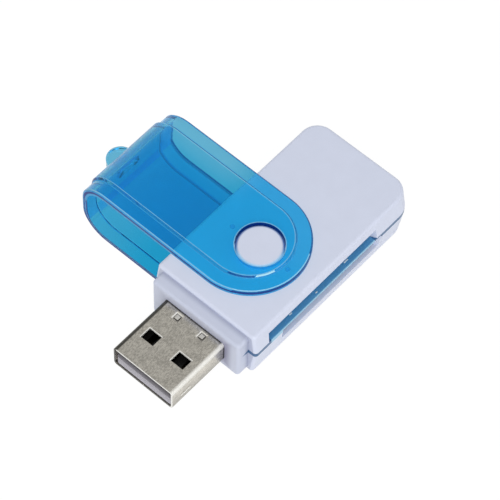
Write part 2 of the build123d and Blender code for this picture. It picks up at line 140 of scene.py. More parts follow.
class Shader:
    """Node tree of one material or of the world, filled from Python."""

    def __init__(self, tree: bpy.types.NodeTree) -> None:
        """Start from an empty tree."""
        self.tree = tree
        self.tree.nodes.clear()
        self._coordinates: Optional[bpy.types.Node] = None

    def node(self, kind: str, settings: dict[str, Any], output: Union[str, int], **inputs: Any) -> Signal:
        """Add any node.

        Args:
            kind: Blender's name of the node type.
            settings: properties of the node, set before its sockets.
            output: name or index of the output socket to return.
            inputs: values or signals for its input sockets; a name like _0 is an index.

        Returns:
            The signal of the output socket.
        """
        made = self.tree.nodes.new(kind)
        for name, value in settings.items():
            setattr(made, name, value)
        for name, value in inputs.items():
            key = int(name[1:]) if name.startswith("_") else name
            self.feed(made.inputs[key], value)
        return Signal(self, made.outputs[output])

    def feed(self, socket: bpy.types.NodeSocket, value: Any) -> None:
        """Link a signal to a socket, or set the socket's own value.

        Args:
            socket: the input socket.
            value: a signal, a number, a colour or a vector.
        """
        if isinstance(value, Signal):
            self.tree.links.new(value.socket, socket)
            return
        if isinstance(value, (tuple, list)) and socket.type == "RGBA" and len(value) == 3:
            value = (*value, 1.0)
        socket.default_value = value

    def maths(self, operation: str, *operands: Value) -> Signal:
        """Add one Math node with its operands in order."""
        inputs = {f"_{index}": value for index, value in enumerate(operands)}
        return self.node("ShaderNodeMath", {"operation": operation}, 0, **inputs)

    def point(self) -> Signal:
        """Object coordinates, shared by the whole tree."""
        if self._coordinates is None:
            self._coordinates = self.tree.nodes.new("ShaderNodeTexCoord")
        return Signal(self, self._coordinates.outputs["Object"])

    def reader_mm(self) -> tuple[Signal, Signal, Signal]:
        """Millimetres from the nose on the plug's axis, as the solids are drawn.

        Returns:
            X, Y and Z of the reader.
        """
        split = self.tree.nodes.new("ShaderNodeSeparateXYZ")
        self.feed(split.inputs[0], self.point())
        signals = (Signal(self, split.outputs[index]) for index in range(3))
        return tuple((signal - origin) / MM for signal, origin in zip(signals, READER_ORIGIN))

    def upright(self) -> Signal:
        """One on faces that stand upright, and zero on level ones."""
        normal = self.node("ShaderNodeNewGeometry", {}, "Normal")
        rise = self.node("ShaderNodeSeparateXYZ", {}, "Z", _0=normal)
        return 1 - abs(rise).step(0.3, 0.6)

    def stretched(self, scale: Point) -> Signal:
        """Object coordinates scaled along each axis."""
        return self.node("ShaderNodeMapping", {}, 0, Vector=self.point(), Scale=scale)

    def noise(
        self, size_mm: float, detail: float = 2.0, roughness: float = 0.5, stretch: Point = (1, 1, 1)
    ) -> Signal:
        """Soft noise around one half, with features of about the given size and that many finer layers."""
        look = {"Scale": 1.0 / (size_mm * MM), "Detail": detail, "Roughness": roughness}
        return self.node("ShaderNodeTexNoise", {}, 0, Vector=self.stretched(stretch), **look)

    def blend(self, factor: Value, first: Any, second: Any) -> Signal:
        """Mix two colours.

        Args:
            factor: zero for the first colour, one for the second.
            first: colour or colour signal.
            second: colour or colour signal.

        Returns:
            The mixed colour.
        """
        made = self.tree.nodes.new("ShaderNodeMix")
        made.data_type = "RGBA"
        self.feed(made.inputs[0], factor)
        self.feed(made.inputs[6], first)
        self.feed(made.inputs[7], second)
        return Signal(self, made.outputs[2])

    def bump(self, height: Signal, depth_mm: float) -> Signal:
        """Turn a height between zero and one into a normal."""
        return self.node("ShaderNodeBump", {}, 0, Height=height, Distance=depth_mm * MM, Strength=1.0)

    def principled(self, **inputs: Any) -> Signal:
        """Add the surface shader, its sockets named with underscores for spaces."""
        named = {name.replace("_", " "): value for name, value in inputs.items()}
        return self.node("ShaderNodeBsdfPrincipled", {}, 0, **named)

    def surface(self, shader: Signal) -> None:
        """Connect a shader to the tree's output.

        Args:
            shader: the signal of a shader node.
        """
        in_world = isinstance(self.tree.id_data, bpy.types.World)
        output = self.tree.nodes.new("ShaderNodeOutputWorld" if in_world else "ShaderNodeOutputMaterial")
        self.feed(output.inputs["Surface"], shader)


def new_shader(name: str) -> tuple[bpy.types.Material, Shader]:
    """Make an empty node material.

    Args:
        name: name of the material.

    Returns:
        The material and the wrapper of its tree.
    """
    material = bpy.data.materials.new(name)
    material.use_nodes = True
    return material, Shader(material.node_tree)


def swivel_ring(across: Signal, along: Signal) -> tuple[Signal, Signal]:
    """Millimetres from the swivel axis, and how far that side faces front right, from minus one to one."""
    ahead = along - SWIVEL_MM
    ring = (across * across + ahead ** 2).root()
    return ring, (across * FRONT_RIGHT[0] + ahead * FRONT_RIGHT[1]) / ring.max(0.1)


@dataclass(frozen=True)
class MouldedPlastic:
    """Opaque moulded plastic with a faint mottle and a fine spark-eroded grain."""

    name: str
    colour: Colour
    mottle: float = 0.04
    mottle_mm: float = 3.0
    roughness: float = 0.42
    grain_mm: float = 0.12
    grain_depth_mm: float = 0.004

    def build(self) -> bpy.types.Material:
        """Make the material.

        Returns:
            The finished material.
        """
        material, shader = new_shader(self.name)
        cloud = shader.noise(self.mottle_mm, detail=3.0)
        dark = tuple(channel * (1 - 2 * self.mottle) for channel in self.colour)
        colour = shader.blend(cloud, dark, self.colour)
        grain = shader.noise(self.grain_mm, detail=2.0)
        roughness = self.roughness + (grain - 0.5) * 0.12
        normal = shader.bump(grain, self.grain_depth_mm)
        shader.surface(shader.principled(Base_Color=colour, Roughness=roughness, Normal=normal, IOR=1.5))
        return material


@dataclass(frozen=True)
class ShellPlastic:
    """Pale satin plastic of the shells, with painted shade on the nose and round the plug, and painted shade
    and sheen on the boss edges.
    """

    name: str
    colour: Colour
    shade: Colour
    boss_painted_shade: Colour
    boss_painted_sheen: Colour
    plug_painted_shadow: Colour
    boss_radius_mm: float = 3.85
    boss_edge_mm: tuple[float, float] = (0.6, 0.1)
    boss_foot_mm: float = 5.6
    sheen_facing_range: tuple[float, float] = (-0.1, 0.6)
    plug_half_mm: tuple[float, float] = (6.0, 2.25)
    plug_shade_mm: float = 1.9
    plug_side_mm: tuple[float, float] = (4.0, 6.5)
    nose_mm: float = 2.35
    corner_mm: float = 1.1
    corner_shade: float = 0.55
    nose_shade: float = 0.32
    roughness: float = 0.42
    grain_mm: float = 0.12
    grain_depth_mm: float = 0.004

    def layers(self, shader: Shader) -> tuple[tuple[Signal, Any], ...]:
        """Paint shade on the nose, its corner with the housing and the foot of the plug, and paint shade and
        sheen on the boss edges.

        Returns:
            How far each layer covers those under it, with its colour.
        """
        across, along, height = shader.reader_mm()
        # Painted shade in the corner at the foot of the housing's front, and over the whole nose.
        corner = along.step(self.nose_mm - self.corner_mm, self.nose_mm) * (along < self.nose_mm + 0.01)
        nose = along < self.nose_mm - 0.01
        ring, facing = swivel_ring(across, along)
        start, end = (self.boss_radius_mm - width for width in self.boss_edge_mm)
        # Painted shade on the boss edge, turning into a painted sheen on the side facing front right.
        rim = ring.step(start, end) * (abs(height - LIFT_MM) > self.boss_foot_mm)
        edge = shader.blend(facing.step(*self.sheen_facing_range), self.boss_painted_shade, self.boss_painted_sheen)
        # Painted shadow of the plug on the nose front round its foot, stronger on its right side.
        beside = (abs(across) - self.plug_half_mm[0]).max(abs(height) - self.plug_half_mm[1])
        foot = (1 - beside.step(0.0, self.plug_shade_mm)) * (along < 0.05)
        return (
            (corner * self.corner_shade + nose * self.nose_shade, self.shade),
            (rim, edge),
            (foot * (0.35 + across.step(*self.plug_side_mm) * 0.65), self.plug_painted_shadow),
        )

    def build(self) -> bpy.types.Material:
        """Make the material.

        Returns:
            The finished material.
        """
        material, shader = new_shader(self.name)
        cloud = shader.noise(3.0, detail=3.0)
        colour = shader.blend(cloud, tuple(channel * 0.94 for channel in self.colour), self.colour)
        for cover, tone in self.layers(shader):
            colour = shader.blend(cover, colour, tone)
        grain = shader.noise(self.grain_mm, detail=2.0)
        roughness = self.roughness + (grain - 0.5) * 0.12
        normal = shader.bump(grain, self.grain_depth_mm)
        shader.surface(shader.principled(Base_Color=colour, Roughness=roughness, Normal=normal, IOR=1.5))
        return material


@dataclass(frozen=True)
class ClearTint:
    """Clear tinted plastic, slowly wavy as a moulding is, that lets lamp light through to what it covers."""

    name: str
    colour: Colour
    passed_light: Colour
    gloss_tint: Colour = (0.35, 0.8, 1.0)
    roughness: float = 0.015
    ior: float = 1.45
    clarity: float = 0.94
    wave_mm: float = 4.0
    wave_depth_mm: float = 0.006

    def tint(self, shader: Shader, wave: Signal) -> Signal:
        """Colour of the clear body, varied slowly over the moulding."""
        pale = tuple(min(1.0, channel * 1.06) for channel in self.colour)
        return shader.blend(wave, self.colour, pale)

    def clear(self, shader: Shader) -> Signal:
        """Add the clear body of the plastic.

        Returns:
            The shader signal.
        """
        wave = shader.noise(self.wave_mm, detail=1.0)
        colour = self.tint(shader, wave)
        haze = shader.noise(1.2, detail=2.0)
        roughness = self.roughness + haze.step(0.45, 0.8) * 0.03
        normal = shader.bump(wave, self.wave_depth_mm)
        return shader.principled(
            Base_Color=colour, Roughness=roughness, Normal=normal, IOR=self.ior,
            Transmission_Weight=self.clarity, Specular_Tint=(*self.gloss_tint, 1.0),
        )

    def let_light_in(self, shader: Shader, body: Signal) -> None:
        """Finish the tree so that lamps reach what the plastic covers.

        Args:
            shader: tree of the material.
            body: what the eye sees.
        """
        passing = shader.node("ShaderNodeBsdfTransparent", {}, 0, Color=self.passed_light)
        path = shader.tree.nodes.new("ShaderNodeLightPath")
        lamp, bounce = (Signal(shader, path.outputs[name]) for name in ("Is Shadow Ray", "Is Diffuse Ray"))
        shader.surface(shader.node("ShaderNodeMixShader", {}, 0, _0=lamp.max(bounce), _1=body, _2=passing))

    def build(self) -> bpy.types.Material:
        """Make the material.

        Returns:
            The finished material.
        """
        material, shader = new_shader(self.name)
        self.let_light_in(shader, self.clear(shader))
        return material


@dataclass(frozen=True)
class EdgeLine:
    """One line of painted shade or painted highlight along an edge of the cap."""

    mask: Signal
    colour: Colour
    cover: float


@dataclass(frozen=True)
class ClearCap(ClearTint):
    """Clear plastic of the cap, with painted lines of shade and painted highlights along its edges, its
    strap and its swivel holes.
    """

    thin_and_sheen_colour: Colour = (0.2, 0.68, 0.97)
    navy_painted_shade: Colour = (0.002, 0.03, 0.24)
    painted_glint: Colour = (0.36, 0.73, 0.95)
    painted_edge_blue: Colour = (0.06, 0.40, 0.82)
    painted_lip_blue: Colour = (0.05, 0.37, 0.72)
    painted_flash: Colour = (0.6, 0.95, 1.0)
    flash_mm: tuple[float, float] = (3.3, 5.0)
    dash_mm: tuple[float, float] = (-0.4, 3.2)
    half_mm: float = 9.7
    round_mm: float = -2.1
    end_mm: float = -28.95
    end_lip_mm: tuple[float, float] = (0.25, 1.3)
    bend_mm: float = -23.55
    bend_radius_mm: float = 5.0
    bend_level_mm: float = 1.35
    wall_mm: float = 1.15
    margin_mm: float = 2.4
    bevel_mm: float = 0.25
    strap_mm: float = 0.4
    hole_mm: float = 3.95
    body_mm: tuple[float, float] = (-15.0, -6.0)
    lip_band: tuple[float, float] = (-0.1, 0.36)
    dark_band: tuple[float, float] = (0.36, 0.8)
    inner_band: tuple[float, float] = (-0.1, 0.22)
    middle_band: tuple[float, float] = (0.22, 0.42)
    outline_band: tuple[float, float] = (0.42, 0.86)

    def inside(self, across: Signal, along: Signal) -> Signal:
        """Millimetres inwards from the cap's outline in plan."""
        past = (across - self.round_mm).max(0.0)
        return self.half_mm - (past * past + (along - SWIVEL_MM) ** 2).root()

    def tint(self, shader: Shader, wave: Signal) -> Signal:
        """Deep tint of the strap, paler at the closed end and over the lug, with a painted pale sheen over
        the far side and its far margin.

        Args:
            shader: tree of the material.
            wave: slow variation over the moulding.

        Returns:
            The colour signal.
        """
        across, along, height = shader.reader_mm()
        beyond = along - SWIVEL_MM
        clear_of_body = 1 - across.step(*self.body_mm)
        # Painted sheen: paler over the far side of the cap and along its far margin.
        far = beyond.step(2.0, 8.0) * clear_of_body * (height > LIFT_MM)
        margin = 1 - self.inside(across, along).step(self.margin_mm - 0.1, self.margin_mm + 0.3)
        far_margin_sheen = margin * beyond.step(-4.0, 5.0) * (0.2 + clear_of_body * 0.8)
        closed = 1 - across.step(self.bend_mm - 1.5, self.bend_mm + 8.0)
        lug = across < self.bend_mm - self.bend_radius_mm - 0.5
        pale = far_margin_sheen.max(far * 0.65).max(closed * 0.25).max(lug) * (0.8 + wave * 0.4)
        return shader.blend(pale, super().tint(shader, wave), self.thin_and_sheen_colour)

    def depth(self, across: Signal, height: Signal) -> Signal:
        """Depth in the wall, also round the bend.

        Returns:
            Zero on the inner face and one on the outer face under the strap.
        """
        bent = (self.bend_mm - across).max(0.0)
        level = abs(height - LIFT_MM)
        profile = (bent * bent + (level - self.bend_level_mm).max(0.0) ** 2).root()
        return (profile - self.bend_radius_mm) / self.wall_mm + 1

    def rim_lines(self, shader: Shader) -> tuple[EdgeLine, ...]:
        """Lay out the painted shade and highlight lines on the cap's cut sides and their bevels.

        Returns:
            The lines, each over those before it.
        """
        across, along, height = shader.reader_mm()
        inside = self.inside(across, along)
        depth = self.depth(across, height)
        upper = (height - LIFT_MM).step(0.5, 2.5)
        lower = 1 - upper
        side = shader.upright() * (inside < 0.06) * (across > self.bend_mm - self.bend_radius_mm + 0.5)
        bevel = inside.within(-0.05, self.bevel_mm + 0.02) * (depth > 0.74) * (depth < 1.02)
        beyond = along > SWIVEL_MM + 4.0
        rounded = across > 2.0
        lip_start, lip_end = (self.end_mm + width for width in self.end_lip_mm)
        # Painted shade and painted highlights along the cut sides and bevels.
        return (
            EdgeLine(side * upper * depth.within(*self.lip_band), self.painted_lip_blue, cover=0.85),
            EdgeLine(side * upper * depth.within(*self.dark_band), self.navy_painted_shade, cover=0.97),
            EdgeLine(bevel * upper, self.painted_edge_blue, cover=0.6),
            EdgeLine(bevel * upper * rounded.max(beyond), self.navy_painted_shade, cover=0.7),
            EdgeLine(bevel * upper * (inside > 0.5 * self.bevel_mm) * (1 - beyond), self.painted_glint, cover=0.45),
            EdgeLine(side * lower * depth.within(*self.inner_band), self.navy_painted_shade, cover=0.95),
            EdgeLine(side * lower * depth.within(*self.middle_band), self.painted_edge_blue, cover=0.3),
            EdgeLine(side * lower * depth.within(*self.outline_band), self.navy_painted_shade, cover=0.97),
            EdgeLine(bevel * lower, self.navy_painted_shade, cover=0.45),
            EdgeLine(bevel * lower * (along < SWIVEL_MM), self.navy_painted_shade, cover=0.93),
            EdgeLine((depth > 0.9) * across.within(lip_start, lip_end), self.painted_edge_blue, cover=0.55),
        )

    def strap_lines(self, shader: Shader) -> tuple[EdgeLine, ...]:
        """Lay out the painted shade and highlight lines along the raised strap and round the swivel holes.

        Returns:
            The lines, each over those before it.
        """
        across, along, height = shader.reader_mm()
        upright = shader.upright()
        inside = self.inside(across, along)
        outer = self.depth(across, height) > 0.9
        foot = self.margin_mm
        head = self.margin_mm + self.strap_mm * 0.75
        slope = inside.within(foot + 0.02, head) * outer
        upper = (height - LIFT_MM).step(0.5, 2.5)
        near_arc = outer * upper * (along < SWIVEL_MM - 2.0)
        # Painted dark dashes and a painted highlight on the strap's slope near the round end.
        painted_dash = across.within(*self.dash_mm) * inside.within(foot + 0.05, head - 0.05)
        painted_flash = across.within(*self.flash_mm) * inside.within(foot + 0.08, head - 0.02)
        ring, facing = swivel_ring(across, along)
        # Painted shade on the swivel hole's wall, bluer on the side facing front right, and a painted glint
        # round its rim.
        wall = upright * (ring < self.hole_mm + 0.1)
        hole_edge = (1 - upright) * ring.within(self.hole_mm - 0.05, self.hole_mm + 0.14)
        return (
            EdgeLine(inside.within(foot - 0.12, foot + 0.02) * outer, self.painted_edge_blue, cover=0.55),
            EdgeLine(slope, self.navy_painted_shade, cover=0.22),
            EdgeLine(inside.within(head, head + 0.12) * outer, self.painted_glint, cover=0.5),
            EdgeLine(slope * (along > SWIVEL_MM + 4.0), self.navy_painted_shade, cover=0.45),
            EdgeLine(near_arc * painted_dash, self.navy_painted_shade, cover=0.8),
            EdgeLine(near_arc * painted_flash, self.painted_flash, cover=0.75),
            EdgeLine(wall, self.navy_painted_shade, cover=0.95),
            EdgeLine(wall * (facing > 0.35), self.painted_edge_blue, cover=0.6),
            EdgeLine(hole_edge * outer, self.painted_glint, cover=0.55),
        )

    def paint(self, shader: Shader) -> tuple[Signal, Signal]:
        """Lay the lines over each other.

        Returns:
            Their colour and how far they cover the clear body.
        """
        colour: Any = self.navy_painted_shade
        cover: Value = 0.0
        for line in self.rim_lines(shader) + self.strap_lines(shader):
            colour = shader.blend(line.mask > 0.5, colour, line.colour)
            cover = (line.mask * line.cover).max(cover)
        return colour, cover

    def build(self) -> bpy.types.Material:
        """Make the material.

        Returns:
            The finished material.
        """
        material, shader = new_shader(self.name)
        colour, cover = self.paint(shader)
        # Opaque shader of the painted shade and highlight lines, mixed over the clear body.
        edge = shader.principled(Base_Color=colour, Roughness=0.3, IOR=self.ior, Specular_IOR_Level=0.15)
        body = shader.node("ShaderNodeMixShader", {}, 0, _0=cover, _1=self.clear(shader), _2=edge)
        self.let_light_in(shader, body)
        return material


@dataclass(frozen=True)
class PlatedSheet:
    """Nickel-plated sheet of the plug: brushed grain and pressed dimples, with painted highlights and
    painted shade on the hole edges, lips, dimples, folds and rear edge.
    """

    name: str
    colour: Colour
    painted_highlight: Colour
    shaded: Colour
    half_width_mm: float = 6.0
    half_height_mm: float = 2.25
    front_mm: float = -11.6
    hole_x_mm: float = 3.05
    hole_y_mm: float = -6.4
    hole_half_mm: tuple[float, float] = (1.25, 1.05)
    dimple_x_mm: float = 2.5
    dimple_y_mm: float = -1.15
    dimple_half_mm: float = 0.55
    rib_mm: tuple[float, float] = (-9.8, -7.6)
    roughness: float = 0.27
    burr_mm: float = 0.11
    fold_mm: float = 0.5
    lip_mm: tuple[float, float, float] = (0.55, 0.4, 0.35)
    rear_mm: tuple[float, float] = (-0.4, -0.1)
    relief_mm: float = 0.003

    def holes(self, across: Signal, along: Signal) -> Signal:
        """Mark the two far edges of both latch holes, which get a painted highlight.

        Returns:
            One on the edges with the painted highlight.
        """
        half_x, half_y = self.hole_half_mm
        mark: Value = 0.0
        for centre in (-self.hole_x_mm, self.hole_x_mm):
            beside = across - centre
            ahead = along - self.hole_y_mm
            near = (abs(beside) - half_x).max(abs(ahead) - half_y)
            far = (beside < self.burr_mm / 3 - half_x).max(ahead > half_y - self.burr_mm / 3)
            mark = (near.within(-self.burr_mm / 3, self.burr_mm) * far).max(mark)
        return mark

    def dimples(self, across: Signal, along: Signal) -> tuple[Signal, Signal]:
        """Mark the pressed dimples.

        Returns:
            A painted highlight on their far slopes and floors, and painted shade on their near foot.
        """
        half = self.dimple_half_mm
        bright: Value = 0.0
        dark: Value = 0.0
        for centre in (-self.dimple_x_mm, self.dimple_x_mm):
            beside = across - centre
            ahead = along - self.dimple_y_mm
            reach = abs(beside).max(abs(ahead))
            far_left = beside * -1 > reach * 0.98
            far = far_left.max(ahead > reach * 0.98)
            slope = reach.within(half - 0.02, half + 0.14) * far * (0.6 + far_left * 0.4)
            bright = slope.max(reach.within(-1.0, 0.32) * 0.5).max(bright)
            foot = reach.within(half - 0.2, half) * (1 - far)
            dark = foot.max(reach.within(half - 0.12, half - 0.02) * 0.6).max(dark)
        return bright, dark

    def folds(self, across: Signal, height: Signal) -> tuple[Signal, Signal, Signal]:
        """Mark the folds along the plug.

        Returns:
            Painted shade on the left fold, a painted highlight on the right fold and painted shade on the
            foot of the right side.
        """
        fold = self.fold_mm
        top = height > self.half_height_mm - 1.6 * fold
        left = (1 - (across + self.half_width_mm).step(1.2 * fold, 1.65 * fold)) * top
        turn = across.step(self.half_width_mm - 1.4 * fold, self.half_width_mm - 0.5 * fold)
        rise = height.step(self.half_height_mm - 1.9 * fold, self.half_height_mm - 0.9 * fold)
        foot = 1 - height.step(-self.half_height_mm, self.half_height_mm)
        return left, turn * rise, foot * (across > self.half_width_mm - 0.1)

    def lips(self, across: Signal, along: Signal, height: Signal) -> tuple[Signal, Signal]:
        """Mark the cut edge of the sheet round the plug's mouth.

        Returns:
            A painted highlight on its lips above and on the right, and painted shade on its lips below and
            on the left.
        """
        left, right, upper = self.lip_mm
        mouth = along < self.front_mm + 0.03
        bright_side = (height > self.half_height_mm - upper).max(across > self.half_width_mm - right)
        bright = mouth * bright_side * (across > left - self.half_width_mm)
        return bright, mouth * (1 - bright)

    def build(self) -> bpy.types.Material:
        """Make the material.

        Returns:
            The finished material.
        """
        material, shader = new_shader(self.name)
        across, along, height = shader.reader_mm()
        strokes = shader.noise(0.10, detail=3.0, roughness=0.6, stretch=(1.0, 0.35, 1.0))
        mottle = shader.noise(0.22, detail=3.0, roughness=0.6, stretch=(1.0, 0.5, 1.0))
        cloud = shader.noise(1.8, detail=2.0)
        dark = tuple(channel * 0.6 for channel in self.colour)
        wear = (strokes * 0.3 + mottle * 0.5 + cloud * 0.2).step(0.38, 0.62)
        colour = shader.blend(wear, dark, self.colour)
        left_fold, right_fold, low_side = self.folds(across, height)
        bright_lip, shaded_lip = self.lips(across, along, height)
        dent_bright, dent_dark = self.dimples(across, along)
        on_top = height > self.half_height_mm - self.fold_mm
        # Painted shade where the plug meets the nose, on the left fold, the lower and left lips, the foot of
        # the right side and the dimples' near foot.
        rear_shadow = along.step(*self.rear_mm)
        shade_mask = (rear_shadow * 0.85).max(left_fold * 0.9).max(shaded_lip * 0.93)
        shade_mask = shade_mask.max(low_side * 0.45).max(dent_dark * on_top * 0.9)
        colour = shader.blend(shade_mask, colour, self.shaded)
        # Painted highlight on the rib of the right side, the far hole edges, the upper and right lips, the
        # dimples and the right fold.
        rib = (across > self.half_width_mm + 0.01) * along.within(*self.rib_mm)
        bright = (self.holes(across, along) * on_top).max(bright_lip).max(dent_bright * on_top)
        bright = bright.max(right_fold * 0.85).max(rib)
        colour = shader.blend(bright, colour, self.painted_highlight)
        metallic = 1 - bright * 0.85
        roughness = self.roughness + (cloud - 0.5) * 0.12 + (strokes - 0.5) * 0.25 + bright * 0.2
        normal = shader.bump(strokes * 0.6 + mottle * 0.4, self.relief_mm)
        look = {"Base_Color": colour, "Metallic": metallic, "Roughness": roughness, "Normal": normal}
        shader.surface(shader.principled(**look))
        return material


@dataclass(frozen=True)
class PlugMouldings:
    """Tongue of the plug, or the strips on it, with painted shade down inside the plug, along its foot and a
    little towards its top.
    """

    name: str
    colour: Colour
    inner_painted_shade: Colour
    mouth_mm: float
    dark_mm: float
    top_mm: float
    foot_mm: float = -1.72
    metallic: float = 0.0
    roughness: float = 0.42

    def build(self) -> bpy.types.Material:
        """Make the material.

        Returns:
            The finished material.
        """
        material, shader = new_shader(self.name)
        _, along, height = shader.reader_mm()
        # Painted shade down inside the plug and along its foot, and at a quarter strength towards the top.
        depth = along.step(self.mouth_mm, self.dark_mm) * (height > self.top_mm)
        foot = height < self.foot_mm
        cloud = shader.noise(1.5, detail=2.0)
        pale = shader.blend(cloud, tuple(channel * 0.9 for channel in self.colour), self.colour)
        shaded = shader.blend(height.step(self.foot_mm, 0.0) * 0.25, pale, self.inner_painted_shade)
        colour = shader.blend(depth.max(foot), shaded, self.inner_painted_shade)
        normal = shader.bump(shader.noise(0.15), 0.004)
        roughness = self.roughness + (cloud - 0.5) * 0.1
        shader.surface(
            shader.principled(Base_Color=colour, Metallic=self.metallic, Roughness=roughness, Normal=normal)
        )
        return material


@dataclass(frozen=True)
class TintedPlate:
    """Blue plastic of the card frame, with a painted highlight along its edge in the slot and painted shade
    in the parting line.
    """

    name: str
    colour: Colour
    edge_highlight_colour: Colour
    parting_shade_colour: Colour
    half_width_mm: float = 10.35
    slot_mm: tuple[float, float] = (5.95, 30.15)
    edge_mm: float = 0.16

    def build(self) -> bpy.types.Material:
        """Make the material.

        Returns:
            The finished material.
        """
        material, shader = new_shader(self.name)
        across, along, _ = shader.reader_mm()
        cloud = shader.noise(2.5, detail=3.0)
        dark = tuple(channel * 0.86 for channel in self.colour)
        body = shader.blend(cloud, dark, self.colour)
        # Painted shade on the plate in the parting line, and a painted highlight along its edge in the slot.
        in_slot = along.within(*self.slot_mm)
        rim = across.step(self.half_width_mm - self.edge_mm, self.half_width_mm - 0.5 * self.edge_mm)
        colour = shader.blend(1 - in_slot, body, self.parting_shade_colour)
        colour = shader.blend(rim * in_slot, colour, self.edge_highlight_colour)
        grain = shader.noise(0.2, detail=2.0)
        roughness = 0.3 + (grain - 0.5) * 0.12
        normal = shader.bump(grain, 0.002)
        shader.surface(shader.principled(Base_Color=colour, Roughness=roughness, Normal=normal, IOR=1.5))
        return material


@dataclass(frozen=True)
class EndedChip:
    """Board component with a coloured body between two tinned ends."""

    name: str
    body: Colour
    ends: Colour
    centre_mm: float
    half_mm: float = 0.45

    def build(self) -> bpy.types.Material:
        """Make the material.

        Returns:
            The finished material.
        """
        material, shader = new_shader(self.name)
        across, _, _ = shader.reader_mm()
        end = abs(across - self.centre_mm) > self.half_mm
        cloud = shader.noise(0.4, detail=3.0)
        body = shader.blend(cloud, tuple(channel * 0.75 for channel in self.body), self.body)
        colour = shader.blend(end, body, self.ends)
        roughness = 0.45 - end * 0.15 + (cloud - 0.5) * 0.15
        normal = shader.bump(shader.noise(0.1), 0.003)
        look = {"Base_Color": colour, "Metallic": end, "Roughness": roughness, "Normal": normal}
        shader.surface(shader.principled(**look))
        return material


@dataclass(frozen=True)
class PlainMetal:
    """Small plated metal pieces with a slight cloudiness."""

    name: str
    colour: Colour
    roughness: float = 0.25

    def build(self) -> bpy.types.Material:
        """Make the material.

        Returns:
            The finished material.
        """
        material, shader = new_shader(self.name)
        cloud = shader.noise(0.5, detail=3.0)
        dark = tuple(channel * 0.8 for channel in self.colour)
        colour = shader.blend(cloud.step(0.3, 0.7), dark, self.colour)
        roughness = self.roughness + (cloud - 0.5) * 0.2
        normal = shader.bump(shader.noise(0.08), 0.002)
        look = {"Base_Color": colour, "Metallic": 1.0, "Roughness": roughness, "Normal": normal}
        shader.surface(shader.principled(**look))
        return material


@dataclass(frozen=True)
class SolderResist:
    """Green board with copper tracks that show through the resist."""

    name: str
    colour: Colour
    track_colour: Colour
    track_pitch_mm: float = 0.8

    def build(self) -> bpy.types.Material:
        """Make the material.

        Returns:
            The finished material.
        """
        material, shader = new_shader(self.name)
        across, _, _ = shader.reader_mm()
        phase = (across + shader.noise(5.0, detail=0.0) * 2.0) / self.track_pitch_mm
        wave = abs(phase.math("FRACT") - 0.5)
        area = shader.noise(6.0, detail=1.0).step(0.48, 0.52)
        track = wave.step(0.30, 0.34) * area
        colour = shader.blend(track, self.colour, self.track_colour)
        normal = shader.bump(track, 0.02)
        roughness = 0.3 + (shader.noise(0.6) - 0.5) * 0.15
        shader.surface(shader.principled(Base_Color=colour, Roughness=roughness, Normal=normal))
        return material


